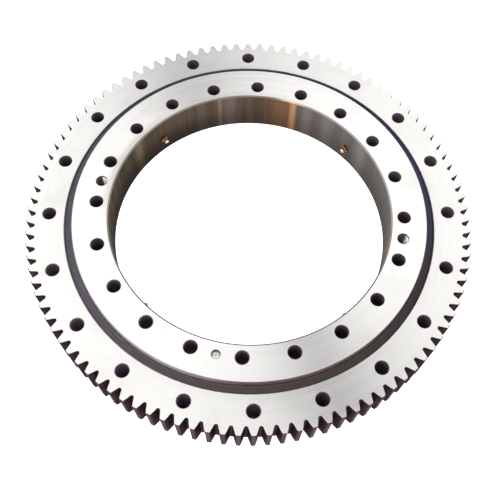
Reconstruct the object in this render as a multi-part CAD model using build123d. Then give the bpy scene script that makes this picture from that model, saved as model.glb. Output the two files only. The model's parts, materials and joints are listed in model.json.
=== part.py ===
from build123d import *
import os
from math import acos, cos, degrees, pi, radians, sin, sqrt, tan

# Slewing ring bearing: one row of balls in four-point contact, gear teeth on the outer ring.
# Millimetres. The Z axis is the axis of rotation and Z = 0 is the outer ring's lower mounting face.
# A place round the rings is an angle in degrees, clockwise from +Y as seen from above.

# Ball row and raceways
ball_circle_radius = 250.0
ball_radius = 15.0
ball_count = 41
ball_height = 40.0
race_radius = 15.75
race_gap = 0.3  # between a ball and a raceway at the contact points
contact_angle = 45.0
ring_split = 0.5  # each ring's wall stands this far from the circle of the ball centres

# Ring heights: the inner ring stands proud at the top and the outer ring at the bottom
outer_ring_bottom = 0.0
outer_ring_top = 70.0
inner_ring_bottom = 10.0
inner_ring_top = 80.0
bore_radius = 199.0
plain_rim_radius = 301.0

# Spur gear, 20 degree involute with a positive profile shift
gear_module = 6.0
tooth_count = 102
profile_shift = 0.5
pressure_angle = 20.0
tooth_tip_radius = 314.4
tooth_root_radius = 301.5
flank_start_radius = 303.3
gear_bottom = 10.0

# Machining
drill_point_slope = 0.6  # a drill point's height over its radius
cutter_overrun = 1.0
ring_chamfer = 1.0
bore_chamfer = 2.0
bolt_hole_chamfer = 0.8

# Bolt holes and tapped holes in the faces
bolt_count = 20
bolt_hole_radius = 9.0
outer_bolt_circle_radius = 283.0
inner_bolt_circle_radius = 217.0
inner_ring_turn = 3.6  # rest position of the inner ring, clockwise
lifting_hole_angles = [99.0 + inner_ring_turn, 279.0 + inner_ring_turn]
lifting_hole_radius = 8.0  # M16, plain at the thread's major diameter
lifting_hole_depth = 30.0
lifting_hole_chamfer = 0.5

# Seal seats: one in each ring, at opposite ends of the split between them
seal_seat_width = 10.5
seal_seat_depth = 10.0
seal_groove_depth = 2.5
seal_groove_low = 1.5
seal_groove_high = 5.0

# Lip seal, its heights above the floor of its seat
seal_lip_gap = 0.3  # between the lip and the other ring
seal_heel_inset = 2.6  # from the ring's wall back to the seal's heel
seal_heel_height = 2.6
seal_body_height = 7.0
seal_corner_width = 0.9
seal_corner_height = 6.2
seal_lip_root = 2.6  # from the heel to where the lip leaves the body's top
seal_lip_low = 7.2
seal_lip_edge = 8.2
seal_lip_high = 8.6
seal_lip_land = 0.7
seal_upper_hollow = 0.74  # depth of the curve over the lip
seal_lower_hollow = 0.4  # depth of the curve under the lip

# Filler plug, through which the balls go in, and the taper pin that locks it
plug_angle = 189.0 + inner_ring_turn
plug_hole_radius = 16.5
plug_fit_gap = 0.02
plug_hole_overrun = 10.0
plug_tap_radius = 5.0  # M10, plain at the thread's major diameter
plug_tap_depth = 8.0
pin_small_radius = 5.0
pin_length = 60.0
pin_taper = 1.0 / 50.0
pin_end_chamfer = 0.5
pin_recess = 4.0
pin_mouth_chamfer = 0.8
pin_drift_hole_radius = 3.5

# Ball spacers
spacer_radius = 12.0
spacer_length = 17.0
spacer_seat_gap = 0.3
spacer_grease_hole_radius = 3.0
spacer_chamfer = 0.4

# Grease nipples in the bore, M8 x 1 with a 9 mm hexagon
nipple_angles = [45.0 + inner_ring_turn + 90.0 * quarter for quarter in range(4)]
spot_face_radius = 6.5
spot_face_plane = 199.3
nipple_thread_radius = 3.675  # plain at the pitch diameter
nipple_thread_length = 5.5
nipple_hole_gap = 0.025
nipple_tap_depth = 10.0
grease_channel_radius = 3.0
nipple_hexagon = 9.0
nipple_hexagon_height = 3.0
nipple_hexagon_bevel = 0.5
nipple_height = 9.8
nipple_profile = [  # height above the spot face, and radius, from the mouth to the thread's end
    (nipple_height, 1.9),
    (8.55, 3.0),
    (8.0, 3.25),
    (7.5, 3.25),
    (5.9, 2.55),
    (4.9, 2.55),
    (3.6, 3.3),
    (2.5, 3.3),
    (0.5, 3.15),
    (-0.5, 3.15),
    (-1.0, nipple_thread_radius),
    (-4.7, nipple_thread_radius),
    (-nipple_thread_length, 2.9),
]
nipple_lip_depth = 0.5
nipple_mouth_radius = 1.1
nipple_chamber_radius = 1.75
check_ball_radius = 1.5
check_ball_depth = 1.75  # of its centre, below the nipple's top
check_ball_clearance = 0.06
spring_wire_radius = 0.2
spring_coil_radius = 1.25
spring_turns = 6.5
spring_end_gap = 0.05


def place(radius, angle, height=0.0):
    """Location of a point on a circle round the bearing's axis."""
    return Pos(radius * sin(radians(angle)), radius * cos(radians(angle)), height)


def face_outwards(angle, height=0.0):
    """Location that turns a shape built along +X so that +X points away from the bearing's axis."""
    return Rot(Z=90.0 - angle) * Pos(0, 0, height)


def turned(*edges):
    """Solid of revolution about Z from edges drawn in (radius, height)."""
    return revolve(Plane.XZ * make_face(edges), Axis.Z)


def turned_about_x(*points):
    """Solid of revolution about X from points (distance along X, radius)."""
    return revolve(make_face(Polyline(*points, close=True)), Axis.X)


def mirrored(edges):
    """Edges drawn for the outer ring, swung half a turn about the ball centre to fit the inner ring."""
    swing = Pos(2 * ball_circle_radius, 2 * ball_height) * Rot(Z=180)
    return [swing * edge for edge in edges]


def raceway(wall_radius):
    """Gothic arch groove of the outer ring, from its lower edge on the wall to its upper edge."""
    shift = race_radius - ball_radius - race_gap
    lean = radians(contact_angle)
    centre_radius = ball_circle_radius - shift * cos(lean)
    centre_drop = shift * sin(lean)
    apex_radius = centre_radius + sqrt(race_radius**2 - centre_drop**2)
    half_mouth = sqrt(race_radius**2 - (wall_radius - centre_radius) ** 2) - centre_drop
    contact_radius = centre_radius + race_radius * cos(lean)
    contact_rise = race_radius * sin(lean) - centre_drop
    apex = (apex_radius, ball_height)
    lower_edge = (wall_radius, ball_height - half_mouth)
    upper_edge = (wall_radius, ball_height + half_mouth)
    lower_arc = ThreePointArc(lower_edge, (contact_radius, ball_height - contact_rise), apex)
    upper_arc = ThreePointArc(apex, (contact_radius, ball_height + contact_rise), upper_edge)
    return [lower_arc, upper_arc]


def track_side():
    """The outer ring's outline towards the balls: lower chamfer, wall, raceway, wall and seal seat."""
    wall = ball_circle_radius + ring_split
    seat_wall = wall + seal_seat_width
    seat_floor = outer_ring_top - seal_seat_depth
    groove_wall = seat_wall + seal_groove_depth
    arcs = raceway(wall)
    below = Polyline(
        (wall + ring_chamfer, outer_ring_bottom),
        (wall, outer_ring_bottom + ring_chamfer),
        arcs[0] @ 0,
    )
    above = Polyline(
        arcs[1] @ 1,
        (wall, seat_floor),
        (seat_wall, seat_floor),
        (seat_wall, seat_floor + seal_groove_low),
        (groove_wall, seat_floor + seal_groove_low),
        (groove_wall, seat_floor + seal_groove_high),
        (seat_wall, seat_floor + seal_groove_high),
        (seat_wall, outer_ring_top - ring_chamfer),
        (seat_wall + ring_chamfer, outer_ring_top),
    )
    return [below, *arcs, above]


def outer_ring_blank():
    """The outer ring as turned, before its teeth and holes are cut."""
    track = track_side()
    outside = Polyline(
        track[-1] @ 1,
        (tooth_tip_radius - ring_chamfer, outer_ring_top),
        (tooth_tip_radius, outer_ring_top - ring_chamfer),
        (tooth_tip_radius, gear_bottom + ring_chamfer),
        (tooth_tip_radius - ring_chamfer, gear_bottom),
        (plain_rim_radius, gear_bottom),
        (plain_rim_radius, outer_ring_bottom + ring_chamfer),
        (plain_rim_radius - ring_chamfer, outer_ring_bottom),
        track[0] @ 0,
    )
    return turned(*track, outside)


def inner_ring_blank():
    """The inner ring as turned, before any hole is drilled."""
    track = mirrored(track_side())
    inside = Polyline(
        track[-1] @ 1,
        (bore_radius + bore_chamfer, inner_ring_bottom),
        (bore_radius, inner_ring_bottom + bore_chamfer),
        (bore_radius, inner_ring_top - bore_chamfer),
        (bore_radius + bore_chamfer, inner_ring_top),
        track[0] @ 0,
    )
    return turned(*track, inside)


def involute(angle):
    """Involute function of a pressure angle in radians, in radians."""
    return tan(angle) - angle


def tooth_half_angle(radius):
    """Half the angle that a tooth fills at a radius, in degrees."""
    reference_radius = gear_module * tooth_count / 2
    base_radius = reference_radius * cos(radians(pressure_angle))
    thickness = gear_module * (pi / 2 + 2 * profile_shift * tan(radians(pressure_angle)))
    at_reference = thickness / (2 * reference_radius)
    narrowing = involute(acos(base_radius / radius)) - involute(radians(pressure_angle))
    return degrees(at_reference - narrowing)


def gear_outline():
    """Closed outline of the toothed rim. A tooth is centred on +Y, and one arc makes each root."""
    step = 360.0 / tooth_count
    flank_middle_radius = (flank_start_radius + tooth_tip_radius) / 2

    def point(radius, angle):
        return (radius * sin(radians(angle)), radius * cos(radians(angle)))

    def flank(middle, side):
        """Flank from root to tip, on one side of the tooth's middle."""
        radii = [flank_start_radius, flank_middle_radius, tooth_tip_radius]
        return [point(radius, middle + side * tooth_half_angle(radius)) for radius in radii]

    edges = []
    for tooth in range(tooth_count):
        middle = tooth * step
        rising = flank(middle, -1)
        falling = flank(middle, 1)
        next_rising = flank(middle + step, -1)
        tip = point(tooth_tip_radius, middle)
        root = point(tooth_root_radius, middle + step / 2)
        edges.append(ThreePointArc(*rising))
        edges.append(ThreePointArc(rising[-1], tip, falling[-1]))
        edges.append(ThreePointArc(*reversed(falling)))
        edges.append(ThreePointArc(falling[0], root, next_rising[0]))
    return make_face(edges)


def through_hole(radius, bottom, top, bevel):
    """Cutter for a hole between two faces, with a bevel at each mouth."""
    mouth = radius + bevel + cutter_overrun
    outline = Polyline(
        (0, bottom - cutter_overrun),
        (mouth, bottom - cutter_overrun),
        (radius, bottom + bevel),
        (radius, top - bevel),
        (mouth, top + cutter_overrun),
        (0, top + cutter_overrun),
        close=True,
    )
    return turned(outline)


def tapped_hole(radius, depth, top, bevel):
    """Cutter for a blind tapped hole with a drill point, plain at the thread's major diameter."""
    outline = Polyline(
        (0, top - depth - drill_point_slope * radius),
        (radius, top - depth),
        (radius, top - bevel),
        (radius + bevel + cutter_overrun, top + cutter_overrun),
        (0, top + cutter_overrun),
        close=True,
    )
    return turned(outline)


def bolt_holes(circle_radius, bottom, top, first_angle):
    """Cutters for one ring's bolt holes."""
    step = 360.0 / bolt_count
    cutter = through_hole(bolt_hole_radius, bottom, top, bolt_hole_chamfer)
    return [place(circle_radius, first_angle + step * hole) * cutter for hole in range(bolt_count)]


def outer_ring():
    """Geared ring: teeth cut in the upper rim, with the plain rim left below them."""
    height = outer_ring_top - outer_ring_bottom + 2 * cutter_overrun
    toothed_prism = extrude(Pos(0, 0, outer_ring_bottom - cutter_overrun) * gear_outline(), height)
    holes = bolt_holes(outer_bolt_circle_radius, outer_ring_bottom, outer_ring_top, 0.0)
    return (outer_ring_blank() & toothed_prism) - holes


def taper_pin():
    """Taper pin that stands upright through the ring and the plug, its large end up."""
    top = inner_ring_top - pin_recess
    large = pin_small_radius + pin_length * pin_taper / 2
    section = Polyline(
        (0, top - pin_length), (pin_small_radius, top - pin_length), (large, top), (0, top), close=True
    )
    return place(inner_bolt_circle_radius, plug_angle) * chamfer(turned(section).edges(), pin_end_chamfer)


def pin_hole():
    """Cutter for the reamed hole of the taper pin and the drift hole under it."""
    top = inner_ring_top - pin_recess
    large = pin_small_radius + pin_length * pin_taper / 2
    outline = Polyline(
        (0, inner_ring_bottom - cutter_overrun),
        (pin_drift_hole_radius, inner_ring_bottom - cutter_overrun),
        (pin_drift_hole_radius, top - pin_length),
        (pin_small_radius, top - pin_length),
        (large, top),
        (large, inner_ring_top - pin_mouth_chamfer),
        (large + pin_mouth_chamfer + cutter_overrun, inner_ring_top + cutter_overrun),
        (0, inner_ring_top + cutter_overrun),
        close=True,
    )
    return place(inner_bolt_circle_radius, plug_angle) * turned(outline)


def plug_cylinder(radius):
    """Radial cylinder of the filler hole, long enough to pass through the inner ring."""
    length = ball_circle_radius - bore_radius + 2 * plug_hole_overrun
    middle = (ball_circle_radius + bore_radius) / 2
    cylinder = Cylinder(radius, length, rotation=(0, 90, 0))
    return face_outwards(plug_angle, ball_height) * Pos(middle, 0, 0) * cylinder


def filler_plug(blank):
    """Plug that closes the filler hole and carries its piece of the raceway, tapped for pulling it."""
    plug = blank & plug_cylinder(plug_hole_radius - plug_fit_gap)
    tap_end = bore_radius + plug_tap_depth
    tap = turned_about_x(
        (bore_radius - cutter_overrun, 0),
        (bore_radius - cutter_overrun, plug_tap_radius),
        (tap_end, plug_tap_radius),
        (tap_end + drill_point_slope * plug_tap_radius, 0),
    )
    return plug - face_outwards(plug_angle, ball_height) * tap - pin_hole()


def grease_port():
    """Cutter for a spot face, a tapped hole and a channel into the raceway, along +X."""
    tap_radius = nipple_thread_radius + nipple_hole_gap
    tap_end = spot_face_plane + nipple_tap_depth
    channel_end = ball_circle_radius - ball_radius
    drill_point = drill_point_slope * (tap_radius - grease_channel_radius)
    return turned_about_x(
        (bore_radius - cutter_overrun, 0),
        (bore_radius - cutter_overrun, spot_face_radius),
        (spot_face_plane, spot_face_radius),
        (spot_face_plane, tap_radius),
        (tap_end, tap_radius),
        (tap_end + drill_point, grease_channel_radius),
        (channel_end, grease_channel_radius),
        (channel_end, 0),
    )


def inner_ring(blank):
    """Inner ring with its bolt, lifting, filler, pin and grease holes."""
    cutters = bolt_holes(
        inner_bolt_circle_radius, inner_ring_bottom, inner_ring_top, inner_ring_turn
    )
    lifting = tapped_hole(
        lifting_hole_radius, lifting_hole_depth, inner_ring_top, lifting_hole_chamfer
    )
    for angle in lifting_hole_angles:
        cutters.append(place(inner_bolt_circle_radius, angle) * lifting)
    for angle in nipple_angles:
        cutters.append(face_outwards(angle, ball_height) * grease_port())
    return blank - plug_cylinder(plug_hole_radius) - pin_hole() - cutters


def seal_outline():
    """Section of the lip seal in the outer ring's seat: body, tongue, and lip against the inner ring."""
    wall = ball_circle_radius + ring_split
    seat_wall = wall + seal_seat_width
    floor = outer_ring_top - seal_seat_depth
    tongue = seat_wall + seal_groove_depth
    lip = ball_circle_radius - ring_split + seal_lip_gap
    heel = wall + seal_heel_inset
    heel_top = (heel, floor + seal_heel_height)
    lip_root = (heel + seal_lip_root, floor + seal_body_height)
    lip_top = (lip + seal_lip_land, floor + seal_lip_high)
    lip_bottom = (lip, floor + seal_lip_low)
    body = Polyline(
        heel_top,
        (heel, floor),
        (seat_wall, floor),
        (seat_wall, floor + seal_groove_low),
        (tongue, floor + seal_groove_low),
        (tongue, floor + seal_groove_high),
        (seat_wall, floor + seal_groove_high),
        (seat_wall, floor + seal_corner_height),
        (seat_wall - seal_corner_width, floor + seal_body_height),
        lip_root,
    )
    over_lip = SagittaArc(lip_root, lip_top, seal_upper_hollow)
    lip_edge = Polyline(lip_top, (lip, floor + seal_lip_edge), lip_bottom)
    under_lip = SagittaArc(lip_bottom, heel_top, seal_lower_hollow)
    return [body, over_lip, lip_edge, under_lip]


def ball_spacer():
    """Nylon spacer: a disc with a spherical seat for the ball at each end and a grease hole."""
    half_chord = ball_circle_radius * sin(pi / ball_count)
    seat = Sphere(ball_radius + spacer_seat_gap)
    blank = chamfer(Cylinder(spacer_radius, spacer_length).edges(), spacer_chamfer)
    hole = Cylinder(spacer_grease_hole_radius, spacer_length)
    spacer = blank - [hole, Pos(0, 0, half_chord) * seat, Pos(0, 0, -half_chord) * seat]
    return Rot(X=90) * spacer


def ball_spacers():
    """All the spacers, each midway between two balls and square to their line of centres."""
    middle_radius = ball_circle_radius * cos(pi / ball_count)
    step = 360.0 / ball_count
    spacer = Pos(middle_radius, 0, 0) * ball_spacer()
    turns = [step * (gap + 0.5) for gap in range(ball_count)]
    return Compound([face_outwards(turn, ball_height) * spacer for turn in turns])


def nipple_hexagon_body():
    """Hexagon of a grease nipple, its corners turned off towards the head."""
    corner_radius = nipple_hexagon / 2 / cos(pi / 6)
    seat = spot_face_plane
    top = seat - nipple_hexagon_height
    hexagon = RegularPolygon(nipple_hexagon / 2, 6, major_radius=False)
    prism = extrude(Plane.YZ.offset(top) * hexagon, nipple_hexagon_height)
    turned_corners = turned_about_x(
        (seat, 0),
        (seat, corner_radius),
        (top + nipple_hexagon_bevel, corner_radius),
        (top, corner_radius - 2 * nipple_hexagon_bevel),
        (top, 0),
    )
    return prism & turned_corners


def grease_nipple():
    """Body of a grease nipple, its head towards -X and its thread in the ring."""
    top = spot_face_plane - nipple_height
    shank_end = spot_face_plane + nipple_thread_length
    profile = [(spot_face_plane - height, radius) for height, radius in nipple_profile]
    turned_body = turned_about_x((top, 0), *profile, (shank_end, 0))
    chamber_start = top + check_ball_depth
    passage = turned_about_x(
        (top - cutter_overrun, 0),
        (top - cutter_overrun, nipple_mouth_radius),
        (top + nipple_lip_depth, nipple_mouth_radius),
        (chamber_start, nipple_chamber_radius),
        (shank_end + cutter_overrun, nipple_chamber_radius),
        (shank_end + cutter_overrun, 0),
    )
    ball_seat = Pos(chamber_start, 0, 0) * Sphere(check_ball_radius + check_ball_clearance)
    return (turned_body + nipple_hexagon_body()) - passage - ball_seat


def check_ball():
    """Ball that closes a nipple's mouth from inside."""
    return Pos(spot_face_plane - nipple_height + check_ball_depth, 0, 0) * Sphere(check_ball_radius)


def nipple_spring():
    """Coil spring behind the check ball, as long as the chamber."""
    ball_centre = spot_face_plane - nipple_height + check_ball_depth
    wire_reach = spring_wire_radius + spring_end_gap
    contact_rise = sqrt((check_ball_radius + wire_reach) ** 2 - spring_coil_radius**2)
    start = ball_centre + contact_rise
    end = spot_face_plane + nipple_thread_length - wire_reach
    helix = Helix(
        pitch=(end - start) / spring_turns,
        height=end - start,
        radius=spring_coil_radius,
        center=(start, 0, 0),
        direction=(1, 0, 0),
    )
    section = Plane(helix @ 0, z_dir=helix % 0) * Circle(spring_wire_radius)
    return sweep(section, path=helix)


def save(name, shape):
    """Writes one sub-part to its own file."""
    shape.label = name
    export_step(shape, f"parts/{name}.step")


os.makedirs("parts", exist_ok=True)

inner_blank = inner_ring_blank()
save("outer_ring", outer_ring())
save("inner_ring", inner_ring(inner_blank))
save("filler_plug", filler_plug(inner_blank))
save("taper_pin", taper_pin())
save("upper_seal", turned(*seal_outline()))
save("lower_seal", turned(*mirrored(seal_outline())))
save("ball_spacers", ball_spacers())

for number in range(ball_count):
    ball = place(ball_circle_radius, number * 360.0 / ball_count, ball_height) * Sphere(ball_radius)
    save(f"ball_{number + 1:02d}", ball)

for number, angle in enumerate(nipple_angles, start=1):
    location = face_outwards(angle, ball_height)
    save(f"grease_nipple_{number}", location * grease_nipple())
    save(f"check_ball_{number}", location * check_ball())
    save(f"nipple_spring_{number}", location * nipple_spring())
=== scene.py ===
import json
from math import cos, pi, radians, sin

import bpy
from mathutils import Matrix, Vector


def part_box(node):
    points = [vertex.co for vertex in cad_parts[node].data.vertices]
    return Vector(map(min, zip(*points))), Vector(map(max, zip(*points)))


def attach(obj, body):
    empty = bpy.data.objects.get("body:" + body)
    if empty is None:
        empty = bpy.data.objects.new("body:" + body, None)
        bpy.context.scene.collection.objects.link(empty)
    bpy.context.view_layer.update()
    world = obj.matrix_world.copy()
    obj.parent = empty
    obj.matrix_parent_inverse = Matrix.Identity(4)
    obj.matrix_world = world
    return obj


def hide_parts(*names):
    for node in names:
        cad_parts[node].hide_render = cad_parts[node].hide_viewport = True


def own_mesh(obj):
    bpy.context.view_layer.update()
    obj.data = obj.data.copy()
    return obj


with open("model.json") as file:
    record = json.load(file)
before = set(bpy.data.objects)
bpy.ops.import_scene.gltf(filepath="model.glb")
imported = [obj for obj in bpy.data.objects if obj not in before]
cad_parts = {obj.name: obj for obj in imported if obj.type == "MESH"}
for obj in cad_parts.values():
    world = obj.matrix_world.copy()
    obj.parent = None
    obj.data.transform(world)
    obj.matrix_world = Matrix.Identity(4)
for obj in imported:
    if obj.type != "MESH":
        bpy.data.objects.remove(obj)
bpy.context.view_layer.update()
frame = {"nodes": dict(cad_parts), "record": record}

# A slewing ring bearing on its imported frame. Metres, with +Z up the axis of rotation, the front at -Y
# and the left at -X.
# A place round the rings is an angle in degrees, clockwise from +Y as seen from above.
nodes = frame["nodes"]
mounts = {mount["name"]: mount for mount in frame["record"]["mounts"]}
MM = 0.001


def round_point(radius, angle, height=0.0):
    """Point on a circle round the bearing's axis."""
    return Vector((radius * sin(radians(angle)), radius * cos(radians(angle)), height))


# Places on the rings. The inner ring rests turned clockwise, and its holes and plug with it.
inner_bolt_circle = mounts["inner_bolt_circle"]["dims"]["pcd_mm"] / 2 * MM
inner_ring_turn = 3.6
inner_ring_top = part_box("inner_ring")[1].z
lifting_hole_angles = [99 + inner_ring_turn, 279 + inner_ring_turn]
lifting_hole_reach = inner_bolt_circle * sin(radians(lifting_hole_angles[0]))
plug_angle = 189 + inner_ring_turn
bore_radius = min(vertex.co.xy.length for vertex in nodes["inner_ring"].data.vertices)
ball_height = mounts["grease_point_1"]["pos_m"][2]

# Threads: major radius, pitch and length, and how deep in the hole the first turn starts
lifting_thread = (8 * MM, 2 * MM, 25 * MM)
lifting_thread_start = 2.2 * MM
plug_thread = (5 * MM, 1.5 * MM, 5.5 * MM)
plug_thread_start = 1.2 * MM

# Grease nipples
nipple_count = 4

# Radii where a finish changes: it goes from one to the next between the two radii of each pair
bore_edge = (203.5 * MM, 204.0 * MM)
creep_edge = (203.0 * MM, 214.0 * MM)
inner_holes_edge = (240.0 * MM, 240.5 * MM)
seal_seat_edge = (266.0 * MM, 266.5 * MM)
outer_holes_edge = (298.5 * MM, 299.0 * MM)
tooth_land_edge = (313.2 * MM, 314.2 * MM)
nipple_head_edge = (192.5 * MM, 194.5 * MM)

# Upright part of a surface's normal: from the walls to the chamfers, and from those to the level faces
chamfer_tilt = (0.50, 0.68)
face_tilt = (0.80, 0.93)

# How strongly the lathe's marks stretch a ring's highlights, and the share of a turn that lays them
# across the marks
turned_anisotropy = 0.97
turned_rotation = 0.25


# ---------------------------------------------------------------- node trees


class Nodes:
    """A node tree, built a call at a time. Each call but add and feed returns the new node's output."""

    def __init__(self, tree):
        self.tree = tree

    def add(self, kind, **settings):
        node = self.tree.nodes.new(kind)
        for name, value in settings.items():
            setattr(node, name, value)
        return node

    def feed(self, socket, value):
        """Links another node's output to a socket, or sets the socket to a constant."""
        if isinstance(value, bpy.types.NodeSocket):
            self.tree.links.new(value, socket)
        elif isinstance(value, tuple) and len(value) == 3 and socket.type == "RGBA":
            socket.default_value = (*value, 1)
        else:
            socket.default_value = value

    def math(self, operation, *values):
        node = self.add("ShaderNodeMath", operation=operation)
        for socket, value in zip(node.inputs, values):
            self.feed(socket, value)
        return node.outputs[0]

    def distance(self, value, middle):
        """How far a value lies from a middle, either way."""
        return self.math("ABSOLUTE", self.math("SUBTRACT", value, middle))

    def reach(self, place, direction):
        """How far a place lies along a direction of length 1."""
        node = self.add("ShaderNodeVectorMath", operation="DOT_PRODUCT")
        self.feed(node.inputs[0], place)
        self.feed(node.inputs[1], direction)
        return node.outputs["Value"]

    def fade(self, value, start, end, low=0.0, high=1.0):
        """Value mapped smoothly from start..end to low..high."""
        node = self.add("ShaderNodeMapRange", interpolation_type="SMOOTHSTEP")
        for socket, number in zip(node.inputs, (value, start, end, low, high)):
            self.feed(socket, number)
        return node.outputs["Result"]

    def mix(self, share, first, second):
        """Colour that is the first at share 0 and the second at share 1."""
        node = self.add("ShaderNodeMix", data_type="RGBA")
        # The sockets before these are for mixing numbers and vectors
        first_socket, second_socket = node.inputs[6:8]
        self.feed(node.inputs[0], share)
        self.feed(first_socket, first)
        self.feed(second_socket, second)
        return node.outputs[2]

    def blend(self, first, first_share, second):
        """Two values added in shares that make up 1."""
        first_part = self.math("MULTIPLY", first, first_share)
        second_part = self.math("MULTIPLY", second, 1 - first_share)
        return self.math("ADD", first_part, second_part)


class Finish(Nodes):
    """A material's node tree, with the place on the bearing as x, y, height, radius and angle."""

    def __init__(self, name, metallic, anisotropic=0.0):
        self.material = bpy.data.materials.new(name)
        self.material.use_nodes = True
        super().__init__(self.material.node_tree)
        self.shader = self.tree.nodes["Principled BSDF"]
        self.shader.inputs["Metallic"].default_value = metallic
        self.shader.inputs["Anisotropic"].default_value = anisotropic
        if anisotropic:
            self.shader.inputs["Anisotropic Rotation"].default_value = turned_rotation
            tangent = self.add("ShaderNodeTangent", direction_type="RADIAL", axis="Z")
            self.feed(self.shader.inputs["Tangent"], tangent.outputs[0])
        self.place = self.add("ShaderNodeTexCoord").outputs["Object"]
        axes = self.add("ShaderNodeSeparateXYZ")
        self.feed(axes.inputs[0], self.place)
        self.x, self.y, self.height = axes.outputs
        x_squared = self.math("MULTIPLY", self.x, self.x)
        y_squared = self.math("MULTIPLY", self.y, self.y)
        self.radius = self.math("SQRT", self.math("ADD", x_squared, y_squared))
        self.angle = self.math("DEGREES", self.math("ARCTAN2", self.x, self.y))
        normal = self.add("ShaderNodeSeparateXYZ")
        self.feed(normal.inputs[0], self.add("ShaderNodeNewGeometry").outputs["Normal"])
        self.upright = self.math("ABSOLUTE", normal.outputs["Z"])

    def round_vector(self, round_scale, along, along_scale):
        """Coordinates that close round the axis: round_scale sets the detail round it."""
        node = self.add("ShaderNodeCombineXYZ")
        for socket, axis in zip(node.inputs, (self.x, self.y)):
            self.feed(socket, self.math("MULTIPLY", self.math("DIVIDE", axis, self.radius), round_scale))
        self.feed(node.inputs["Z"], self.math("MULTIPLY", along, along_scale))
        return node.outputs[0]

    def noise(self, place, scale, detail=3.0, roughness=0.55, distortion=0.0):
        node = self.add("ShaderNodeTexNoise")
        values = {"Scale": scale, "Detail": detail, "Roughness": roughness, "Distortion": distortion}
        self.feed(node.inputs["Vector"], place)
        for name, value in values.items():
            self.feed(node.inputs[name], value)
        return node.outputs["Fac"]

    def mottle(self, grain, dark, light):
        """Two colours, mixed by a grain."""
        return self.mix(self.fade(grain, 0.35, 0.65), dark, light)

    def bump(self, height, strength, distance, under=None):
        node = self.add("ShaderNodeBump")
        self.feed(node.inputs["Height"], height)
        node.inputs["Strength"].default_value = strength
        node.inputs["Distance"].default_value = distance
        if under is not None:
            self.feed(node.inputs["Normal"], under)
        return node.outputs[0]

    def complete(self, colour, roughness, normal):
        """Feeds the shader and returns the material."""
        self.feed(self.shader.inputs["Base Color"], colour)
        self.feed(self.shader.inputs["Roughness"], roughness)
        self.feed(self.shader.inputs["Normal"], normal)
        return self.material


# ---------------------------------------------------------------- steel of the rings


def turned_face(finish, dull, bright):
    """Colour, roughness and feed marks of a faced steel surface, which change with the radius."""
    fine = finish.noise(finish.round_vector(1.5, finish.radius, 2600), 1.0, 2.0)
    passes = finish.noise(finish.round_vector(0.6, finish.radius, 260), 1.0, 3.0)
    cloud = finish.noise(finish.place, 14.0, 4.0, 0.6)
    grain = finish.blend(fine, 0.4, passes)
    steel = finish.mix(finish.fade(grain, 0.3, 0.7), dull, bright)
    colour = finish.mix(finish.fade(cloud, 0.5, 0.8, 0.0, 0.35), steel, (0.54, 0.52, 0.49))
    spread = finish.fade(passes, 0.3, 0.7, 0.36, 0.42)
    roughness = finish.math("ADD", spread, finish.fade(cloud, 0.4, 0.8, 0.0, 0.06))
    return colour, roughness, grain


def wall_grain(finish, round_scale, height_scale):
    """Grain of a wall under dried preservative oil."""
    runs = finish.noise(finish.round_vector(round_scale, finish.height, height_scale), 1.0, 4.0, 0.6)
    return finish.blend(runs, 0.65, finish.noise(finish.place, 60.0, 3.0))


def film_colour(finish, grain, shadow, sheen):
    """Colour of the oil on a wall with that grain."""
    return finish.mix(finish.fade(grain, 0.35, 0.68), shadow, sheen)


def hole_wall(finish):
    """Drilled walls under dark oil, with painted light: lighter deeper down, and lighter still deep in the
    holes at the front and on two opposite sides.
    """
    grain = wall_grain(finish, 60, 700)
    upper = film_colour(finish, grain, (0.042, 0.031, 0.040), (0.112, 0.086, 0.108))
    # Painted light: the walls are painted lighter deeper down in the holes
    deep = film_colour(finish, grain, (0.200, 0.140, 0.190), (0.360, 0.270, 0.360))
    colour = finish.mix(finish.fade(finish.height, 0.015, 0.055), deep, upper)
    # Painted light: a pale wash deep in the holes at the front and on two opposite sides
    aside = finish.math("ABSOLUTE", finish.reach(finish.place, round_point(1.0, 40)))
    painted_light_share = finish.fade(aside, 0.08, 0.24)
    painted_light_share = finish.math("MULTIPLY", painted_light_share, finish.fade(finish.y, -0.20, 0.05, 0.80, 0.40))
    painted_light_share = finish.math("MULTIPLY", painted_light_share, finish.fade(finish.height, 0.030, 0.066, 1.0, 0.12))
    return finish.mix(painted_light_share, colour, (0.48, 0.34, 0.46))


def track_wall(finish):
    """Oiled walls beside the seals, bluer at the back than at the front and lighter on the left."""
    grain = wall_grain(finish, 6, 900)
    right = film_colour(finish, grain, (0.085, 0.055, 0.066), (0.125, 0.086, 0.100))
    left = film_colour(finish, grain, (0.230, 0.200, 0.220), (0.320, 0.285, 0.310))
    front = finish.mix(finish.fade(finish.x, -0.12, 0.0), left, right)
    back = film_colour(finish, grain, (0.085, 0.078, 0.120), (0.130, 0.122, 0.170))
    return finish.mix(finish.fade(finish.y, -0.18, 0.16), front, back)


def blend_surfaces(finish, face, wall_colour, wall_roughness, wall_metallic):
    """Faced steel where the surface is level, and the wall elsewhere."""
    face_colour, face_roughness, face_grain = face
    face_share = finish.fade(finish.upright, *face_tilt)
    colour = finish.mix(face_share, wall_colour, face_colour)
    extra = finish.math("SUBTRACT", face_roughness, wall_roughness)
    roughness = finish.math("ADD", wall_roughness, finish.math("MULTIPLY", face_share, extra))
    metallic = finish.math("MAXIMUM", face_share, wall_metallic)
    finish.feed(finish.shader.inputs["Metallic"], metallic)
    normal = finish.bump(finish.math("MULTIPLY", face_grain, face_share), 0.25, 0.02 * MM)
    return colour, roughness, normal


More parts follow.
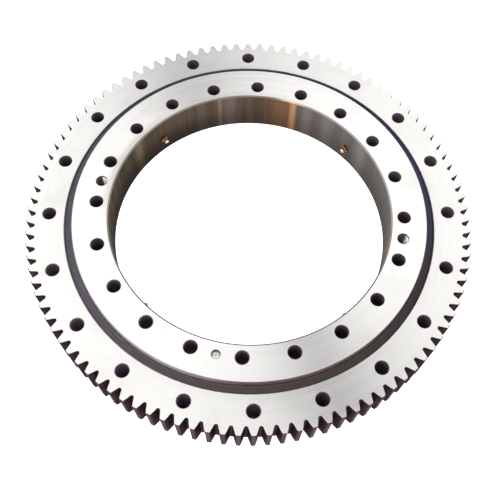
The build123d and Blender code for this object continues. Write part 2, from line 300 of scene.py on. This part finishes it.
def outer_ring_steel():
    """Bright faces, and dark oil in the holes, beside the seals and on the teeth, less on their lands, with
    painted light in the holes and painted shade on the tooth flanks.
    """
    finish = Finish("outer_ring_steel", 1.0, turned_anisotropy)
    finish.shader.inputs["Specular IOR Level"].default_value = 0.06
    grain = wall_grain(finish, 420, 30)
    # Dark oil and painted shade: the tooth flanks are painted near black
    flank_oil_and_shade = film_colour(finish, grain, (0.012, 0.003, 0.007), (0.032, 0.013, 0.018))
    land = film_colour(finish, grain, (0.030, 0.018, 0.016), (0.085, 0.052, 0.046))
    teeth = finish.mix(finish.fade(finish.radius, *tooth_land_edge), flank_oil_and_shade, land)
    beyond_track = finish.mix(finish.fade(finish.radius, *outer_holes_edge), hole_wall(finish), teeth)
    wall = finish.mix(finish.fade(finish.radius, *seal_seat_edge), track_wall(finish), beyond_track)
    face = turned_face(finish, (0.66, 0.655, 0.64), (0.74, 0.735, 0.725))
    colour, roughness, normal = blend_surfaces(finish, face, wall, 0.55, 0.0)
    return finish.complete(colour, roughness, finish.bump(grain, 0.3, 0.05 * MM, normal))


# Painted reflections in the bore, laid on as vertical streaks: angle, half width in degrees, share, colour
painted_reflection_streaks = [
    (20.0, 2.4, 1.0, (0.50, 0.28, 0.12)),
    (15.0, 10.0, 0.48, (0.26, 0.12, 0.055)),
    (26.5, 4.0, 0.45, (0.24, 0.19, 0.18)),
    (-13.0, 1.6, 0.55, (0.30, 0.20, 0.13)),
    (-8.0, 4.5, 0.55, (0.20, 0.15, 0.14)),
    (-21.0, 4.0, 0.40, (0.16, 0.13, 0.12)),
    (-56.0, 4.5, 0.40, (0.24, 0.18, 0.10)),
    (37.0, 5.0, 0.45, (0.22, 0.20, 0.20)),
    (57.0, 6.0, 0.55, (0.24, 0.23, 0.24)),
    (104.0, 4.0, 0.50, (0.22, 0.15, 0.10)),
    (148.0, 5.0, 0.50, (0.20, 0.17, 0.15)),
    (-165.0, 3.0, 0.60, (0.30, 0.18, 0.09)),
    (-118.0, 5.0, 0.45, (0.20, 0.15, 0.11)),
]


def bore_wall(finish):
    """Turned bore under brown oil, painted lighter grey on one side as light and darker on the other as
    shade, streaked, with painted reflection streaks, and painted shade lower down.
    """
    brown = (0.078, 0.053, 0.037)
    painted_light_grey = (0.112, 0.100, 0.092)
    dark = (0.046, 0.034, 0.022)
    # Painted light and shade: lighter grey on the right side of the bore, dark on the left
    base = finish.mix(finish.fade(finish.distance(finish.angle, 80.0), 52, 64, 1.0, 0.0), brown, painted_light_grey)
    base = finish.mix(finish.fade(finish.distance(finish.angle, -95.0), 25, 58, 1.0, 0.0), base, dark)
    streaked = finish.noise(finish.round_vector(20, finish.height, 3), 1.0, 5.0, 0.58, 0.4)
    colour = finish.mix(finish.fade(streaked, 0.38, 0.72, 0.0, 0.28), base, (0.19, 0.16, 0.14))
    # Painted reflections: each one is laid on as a vertical streak of colour
    for angle, half_width, share, reflection_colour in painted_reflection_streaks:
        strength = finish.fade(finish.distance(finish.angle, angle), 0.0, half_width, share, 0.0)
        colour = finish.mix(strength, colour, reflection_colour)
    # Painted shade: darker still at the bottom of the bore on the left
    lower_left_shade = finish.fade(finish.height, 0.020, 0.060, 0.60, 0.0)
    lower_left_shade = finish.math("MULTIPLY", lower_left_shade, finish.fade(finish.x, -0.13, 0.03, 1.0, 0.0))
    colour = finish.mix(lower_left_shade, colour, (0.022, 0.014, 0.010))
    # Painted shade: the whole wall is darkened lower down
    shade = finish.add("ShaderNodeVectorMath", operation="SCALE")
    finish.feed(shade.inputs[0], colour)
    finish.feed(shade.inputs["Scale"], finish.fade(finish.height, 0.012, 0.075, 0.50, 0.84))
    return shade.outputs[0]


def bore_chamfer(finish):
    """Chamfers at the ends of the bore, with painted light and shade: lighter on the sides, most on the
    right, darker at the front, a painted reflection by the strongest painted reflection streak, and the
    bottom chamfer painted dark.
    """
    # Painted light and shade: the chamfer is painted lighter on the sides, most on the right, and darker at
    # the front
    edge = finish.mix(finish.fade(finish.x, -0.18, 0.0), (0.185, 0.178, 0.155), (0.155, 0.145, 0.125))
    edge = finish.mix(finish.fade(finish.x, 0.04, 0.15), edge, (0.25, 0.24, 0.235))
    edge = finish.mix(finish.fade(finish.y, -0.14, 0.0), (0.055, 0.057, 0.054), edge)
    # Painted reflection: a bright warm patch beside the strongest painted reflection streak
    beside_painted_reflection = finish.distance(finish.angle, 19.0)
    edge = finish.mix(finish.fade(beside_painted_reflection, 1.0, 9.0, 0.7, 0.0), edge, (0.70, 0.50, 0.38))
    # Painted shade: the bottom chamfer is painted dark
    return finish.mix(finish.fade(finish.height, 0.03, 0.05), (0.03, 0.025, 0.02), edge)


def inner_ring_steel():
    """Bright faces, dulled beside the bore by oil that has crept there, and oiled walls and bore with
    painted light and shade.
    """
    finish = Finish("inner_ring_steel", 1.0, turned_anisotropy)
    finish.shader.inputs["Specular IOR Level"].default_value = 0.0
    chamfer_share = finish.fade(finish.upright, *chamfer_tilt)
    bore = finish.mix(chamfer_share, bore_wall(finish), bore_chamfer(finish))
    beyond_holes = finish.fade(finish.radius, *inner_holes_edge)
    outside = finish.mix(beyond_holes, hole_wall(finish), track_wall(finish))
    wall = finish.mix(finish.fade(finish.radius, *bore_edge), bore, outside)
    wall_metallic = finish.fade(finish.radius, *bore_edge, 0.15, 0.0)
    clean, roughness, grain = turned_face(finish, (0.70, 0.695, 0.68), (0.78, 0.775, 0.765))
    creep = finish.fade(finish.distance(finish.angle, -66.0), 8, 36, 0.6, 0.0)
    creep = finish.math("MULTIPLY", creep, finish.fade(finish.radius, *creep_edge, 1.0, 0.0))
    face = (finish.mix(creep, clean, (0.42, 0.40, 0.36)), roughness, grain)
    return finish.complete(*blend_surfaces(finish, face, wall, 0.36, wall_metallic))


# ---------------------------------------------------------------- other materials


def seal_rubber():
    """Dusty oiled rubber, lighter on the left side of the bearing, browner at the front, bluer at the back.
    """
    finish = Finish("seal_rubber", 0.0)
    finish.shader.inputs["Specular IOR Level"].default_value = 0.25
    dust = finish.noise(finish.round_vector(10, finish.radius, 300), 1.0, 4.0, 0.65)
    pores = finish.noise(finish.place, 900.0, 2.0)
    dusty = finish.fade(dust, 0.4, 0.75)
    left_tone = finish.mix(dusty, (0.060, 0.053, 0.066), (0.100, 0.090, 0.108))
    right_tone = finish.mix(dusty, (0.014, 0.011, 0.012), (0.030, 0.025, 0.027))
    colour = finish.mix(finish.fade(finish.x, -0.14, 0.14), left_tone, right_tone)
    colour = finish.mix(finish.fade(finish.y, -0.26, -0.13, 0.6, 0.0), colour, (0.054, 0.035, 0.026))
    blue = finish.mix(finish.fade(finish.x, -0.12, 0.10), (0.046, 0.047, 0.062), (0.042, 0.026, 0.130))
    colour = finish.mix(finish.fade(finish.y, -0.12, 0.08, 0.0, 0.4), colour, blue)
    roughness = finish.fade(dust, 0.3, 0.8, 0.42, 0.62)
    return finish.complete(colour, roughness, finish.bump(pores, 0.2, 0.05 * MM))


def thread_steel():
    """Tapped steel, with painted light and shade: one side of the thread is painted dark as shade, and the
    other side painted bright as light.
    """
    finish = Finish("thread_steel", 1.0)
    marks = finish.noise(finish.place, 700, 3.0)
    dark = finish.mottle(marks, (0.030, 0.017, 0.015), (0.110, 0.080, 0.080))
    bright = finish.mottle(marks, (0.52, 0.42, 0.39), (0.88, 0.80, 0.77))
    # Painted light and shade: the thread is painted bright on its right side and dark on the rest
    centre = finish.math("MULTIPLY", finish.math("SIGN", finish.x), lifting_hole_reach + 2.5 * MM)
    offset = finish.math("SUBTRACT", finish.x, centre)
    colour = finish.mix(finish.fade(offset, 1.7 * MM, 3.3 * MM), dark, bright)
    return finish.complete(colour, 0.42, finish.bump(marks, 0.15, 0.02 * MM))


def nipple_brass():
    """Brass, bright at the head of a nipple, with painted shade towards its hexagon, where it is painted
    much darker.
    """
    finish = Finish("nipple_brass", 1.0)
    marks = finish.noise(finish.place, 900, 4.0, 0.6)
    head = finish.mottle(marks, (0.60, 0.38, 0.20), (0.90, 0.66, 0.44))
    # Painted shade: the hexagon end of the nipple is painted much darker than the head
    base = finish.mottle(marks, (0.10, 0.04, 0.008), (0.36, 0.20, 0.06))
    colour = finish.mix(finish.fade(finish.radius, *nipple_head_edge), head, base)
    roughness = finish.fade(marks, 0.3, 0.7, 0.16, 0.28)
    return finish.complete(colour, roughness, finish.bump(marks, 0.15, 0.02 * MM))


def plain_material(name, dark, light, rough, scale, metallic=1.0):
    """Metal or nylon with fine tool marks and slight stains."""
    finish = Finish(name, metallic)
    marks = finish.noise(finish.place, scale, 4.0, 0.6)
    stains = finish.noise(finish.place, scale / 8, 2.0)
    grain = finish.blend(marks, 0.5, stains)
    roughness = finish.fade(grain, 0.3, 0.7, rough, rough + 0.12)
    return finish.complete(finish.mottle(grain, dark, light), roughness, finish.bump(marks, 0.15, 0.02 * MM))


materials = {
    "outer_ring_steel": outer_ring_steel(),
    "inner_ring_steel": inner_ring_steel(),
    "seal_rubber": seal_rubber(),
    "plug_steel": plain_material("plug_steel", (0.25, 0.23, 0.21), (0.40, 0.38, 0.35), 0.32, 900),
    "pin_steel": plain_material("pin_steel", (0.30, 0.30, 0.30), (0.80, 0.80, 0.79), 0.25, 700),
    "spacer_nylon": plain_material("spacer_nylon", (0.70, 0.66, 0.54), (0.80, 0.77, 0.66), 0.45, 500, 0.0),
    "ball_steel": plain_material("ball_steel", (0.60, 0.60, 0.61), (0.68, 0.68, 0.69), 0.06, 700),
    "nipple_brass": nipple_brass(),
    "spring_steel": plain_material("spring_steel", (0.38, 0.38, 0.38), (0.50, 0.50, 0.50), 0.28, 1500),
    "thread_steel": thread_steel(),
}


def paint_nodes():
    """Gives each CAD node the material of its slot in the record."""
    for subpart in frame["record"]["subparts"]:
        for slot in nodes[subpart["node"]].material_slots:
            slot.material = materials[subpart["material_slot"]]


# ---------------------------------------------------------------- threads and springs


def make_piece(name, vertices, faces):
    mesh = bpy.data.meshes.new(name)
    mesh.from_pydata(vertices, [], faces)
    mesh.validate()
    piece = bpy.data.objects.new(name, mesh)
    bpy.context.scene.collection.objects.link(piece)
    return piece


def inside_thread(name, major_radius, pitch, length, matrix):
    """Thread of a tapped hole: a ridge wound inside the hole along +Z, faded out at both ends."""
    depth = 0.5413 * pitch
    least_depth = 0.02 * MM
    bite = 0.05 * MM
    root_half_width = 0.44 * pitch
    crest_half_width = 0.125 * pitch
    steps_per_turn = 48
    steps = round(length / pitch * steps_per_turn)
    vertices = []
    for step in range(steps + 1):
        turn = 2 * pi * step / steps_per_turn
        middle = pitch * step / steps_per_turn
        share = min(1.0, 2 * step / steps_per_turn, 2 * (steps - step) / steps_per_turn)
        root = major_radius + bite
        crest = major_radius - max(depth * share, least_depth)
        section = [
            (root, -root_half_width),
            (crest, -crest_half_width),
            (crest, crest_half_width),
            (root, root_half_width),
        ]
        for radius, rise in section:
            place = Vector((radius * cos(turn), radius * sin(turn), middle + rise))
            vertices.append(matrix @ place)
    rows = len(section)
    faces = []
    for step in range(steps):
        for row in range(rows):
            here = step * rows + row
            beside = step * rows + (row + 1) % rows
            faces.append((here, beside, beside + rows, here + rows))
    faces.append(tuple(reversed(range(rows))))
    faces.append(tuple(range(steps * rows, steps * rows + rows)))
    return make_piece(name, vertices, faces)


def add_thread(name, size, matrix):
    thread = inside_thread(name, *size, matrix)
    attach(thread, "turning_inner_ring")
    thread.data.materials.append(materials["thread_steel"])


def add_threads():
    """Threads of the two lifting holes, and of the filler plug's hole, which opens into the bore."""
    down = Matrix.Rotation(pi, 4, "X")
    for number, angle in enumerate(lifting_hole_angles, start=1):
        start = round_point(inner_bolt_circle, angle, inner_ring_top - lifting_thread_start)
        matrix = Matrix.Translation(start) @ down
        add_thread(f"lifting_thread_{number}", lifting_thread, matrix)
    outwards = Matrix.Rotation(pi / 2 - radians(plug_angle), 4, "Z") @ Matrix.Rotation(pi / 2, 4, "Y")
    start = round_point(bore_radius + plug_thread_start, plug_angle, ball_height)
    add_thread("plug_thread", plug_thread, Matrix.Translation(start) @ outwards)


def add_springs():
    """Springs of the grease nipples: copies of their CAD nodes, which ride on the inner ring in their place.
    """
    for number in range(1, nipple_count + 1):
        node = nodes[f"nipple_spring_{number}"]
        spring = bpy.data.objects.new(f"pressed_spring_{number}", node.data.copy())
        bpy.context.scene.collection.objects.link(spring)
        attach(spring, "turning_inner_ring")
        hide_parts(node.name)
        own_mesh(spring)


# ---------------------------------------------------------------- studio

camera_place = Vector((-0.02054, -0.49378, 0.94782))
camera_target = Vector((0.01739, -0.06576, 0.07))
camera_roll = 4.27
camera_lens = 50.93
camera_shift = (-0.0275, 0.0089)
sensor_width = 36

floor_radius = 30
rim_height = 3.0
floor_corners = 96

# The floor's glow: its strength at the middle, and the radii where it gains its full strength, ends
# and starts again
middle_glow = 0.6
glow_gain = (170 * MM, 200 * MM)
glow_end = (207 * MM, 213 * MM)
glow_start = (292 * MM, 300 * MM)

# The sky's darker stripe: the way it faces, its middle along that way, and how far from the middle
# it starts to brighten and ends
stripe_angle = 70
stripe_middle = 0.225
stripe_reach = (0.02, 0.26)
stripe_strength = 0.62
sky_strength = 1.9


def add_camera():
    data = bpy.data.cameras.new("camera")
    data.sensor_width = sensor_width
    data.lens = camera_lens
    data.shift_x, data.shift_y = camera_shift
    camera = bpy.data.objects.new("camera", data)
    bpy.context.scene.collection.objects.link(camera)
    look = (camera_target - camera_place).to_track_quat("-Z", "Y").to_matrix().to_4x4()
    roll = Matrix.Rotation(radians(camera_roll), 4, "Z")
    camera.matrix_world = Matrix.Translation(camera_place) @ look @ roll
    bpy.context.scene.camera = camera
    bpy.context.scene.view_settings.view_transform = "Standard"


def floor_white():
    """White that glows, but not under the bearing."""
    finish = Finish("floor_white", 0.0)
    finish.shader.inputs["Emission Color"].default_value = (1, 1, 1, 1)
    outside_bore = finish.fade(finish.radius, *glow_end)
    outside_gear = finish.fade(finish.radius, *glow_start)
    covered = finish.math("SUBTRACT", outside_bore, outside_gear)
    strength = finish.fade(finish.radius, *glow_gain, middle_glow, 1.0)
    glow = finish.math("MULTIPLY", strength, finish.math("SUBTRACT", 1.0, covered))
    finish.feed(finish.shader.inputs["Emission Strength"], glow)
    texture = finish.bump(finish.noise(finish.place, 30), 0.02, MM)
    return finish.complete((0.86, 0.86, 0.86), 0.9, texture)


def add_floor():
    """Wide round floor, with a rim that hides the sky beyond it in low views."""
    # The corners go round anticlockwise, so that the floor faces up
    corner_angles = [-360 * corner / floor_corners for corner in range(floor_corners)]
    edge = [round_point(floor_radius, angle) for angle in corner_angles]
    rim = [round_point(floor_radius, angle, rim_height) for angle in corner_angles]
    faces = [tuple(range(floor_corners))]
    for corner in range(floor_corners):
        following = (corner + 1) % floor_corners
        faces.append((corner, following, following + floor_corners, corner + floor_corners))
    floor = make_piece("floor", edge + rim, faces)
    floor.data.materials.append(floor_white())


def add_sky():
    """Soft white light from all round, with a darker stripe that the turned faces mirror."""
    world = bpy.data.worlds.new("studio")
    bpy.context.scene.world = world
    world.use_nodes = True
    sky = Nodes(world.node_tree)
    background = sky.tree.nodes["Background"]
    direction = sky.add("ShaderNodeTexCoord").outputs["Generated"]
    beside_stripe = sky.distance(sky.reach(direction, round_point(1.0, stripe_angle)), stripe_middle)
    strength = sky.fade(beside_stripe, *stripe_reach, stripe_strength, sky_strength)
    sky.feed(background.inputs["Strength"], strength)
    background.inputs["Color"].default_value = (1.0, 0.995, 0.99, 1)


paint_nodes()
add_threads()
add_springs()
add_camera()
add_floor()
add_sky()
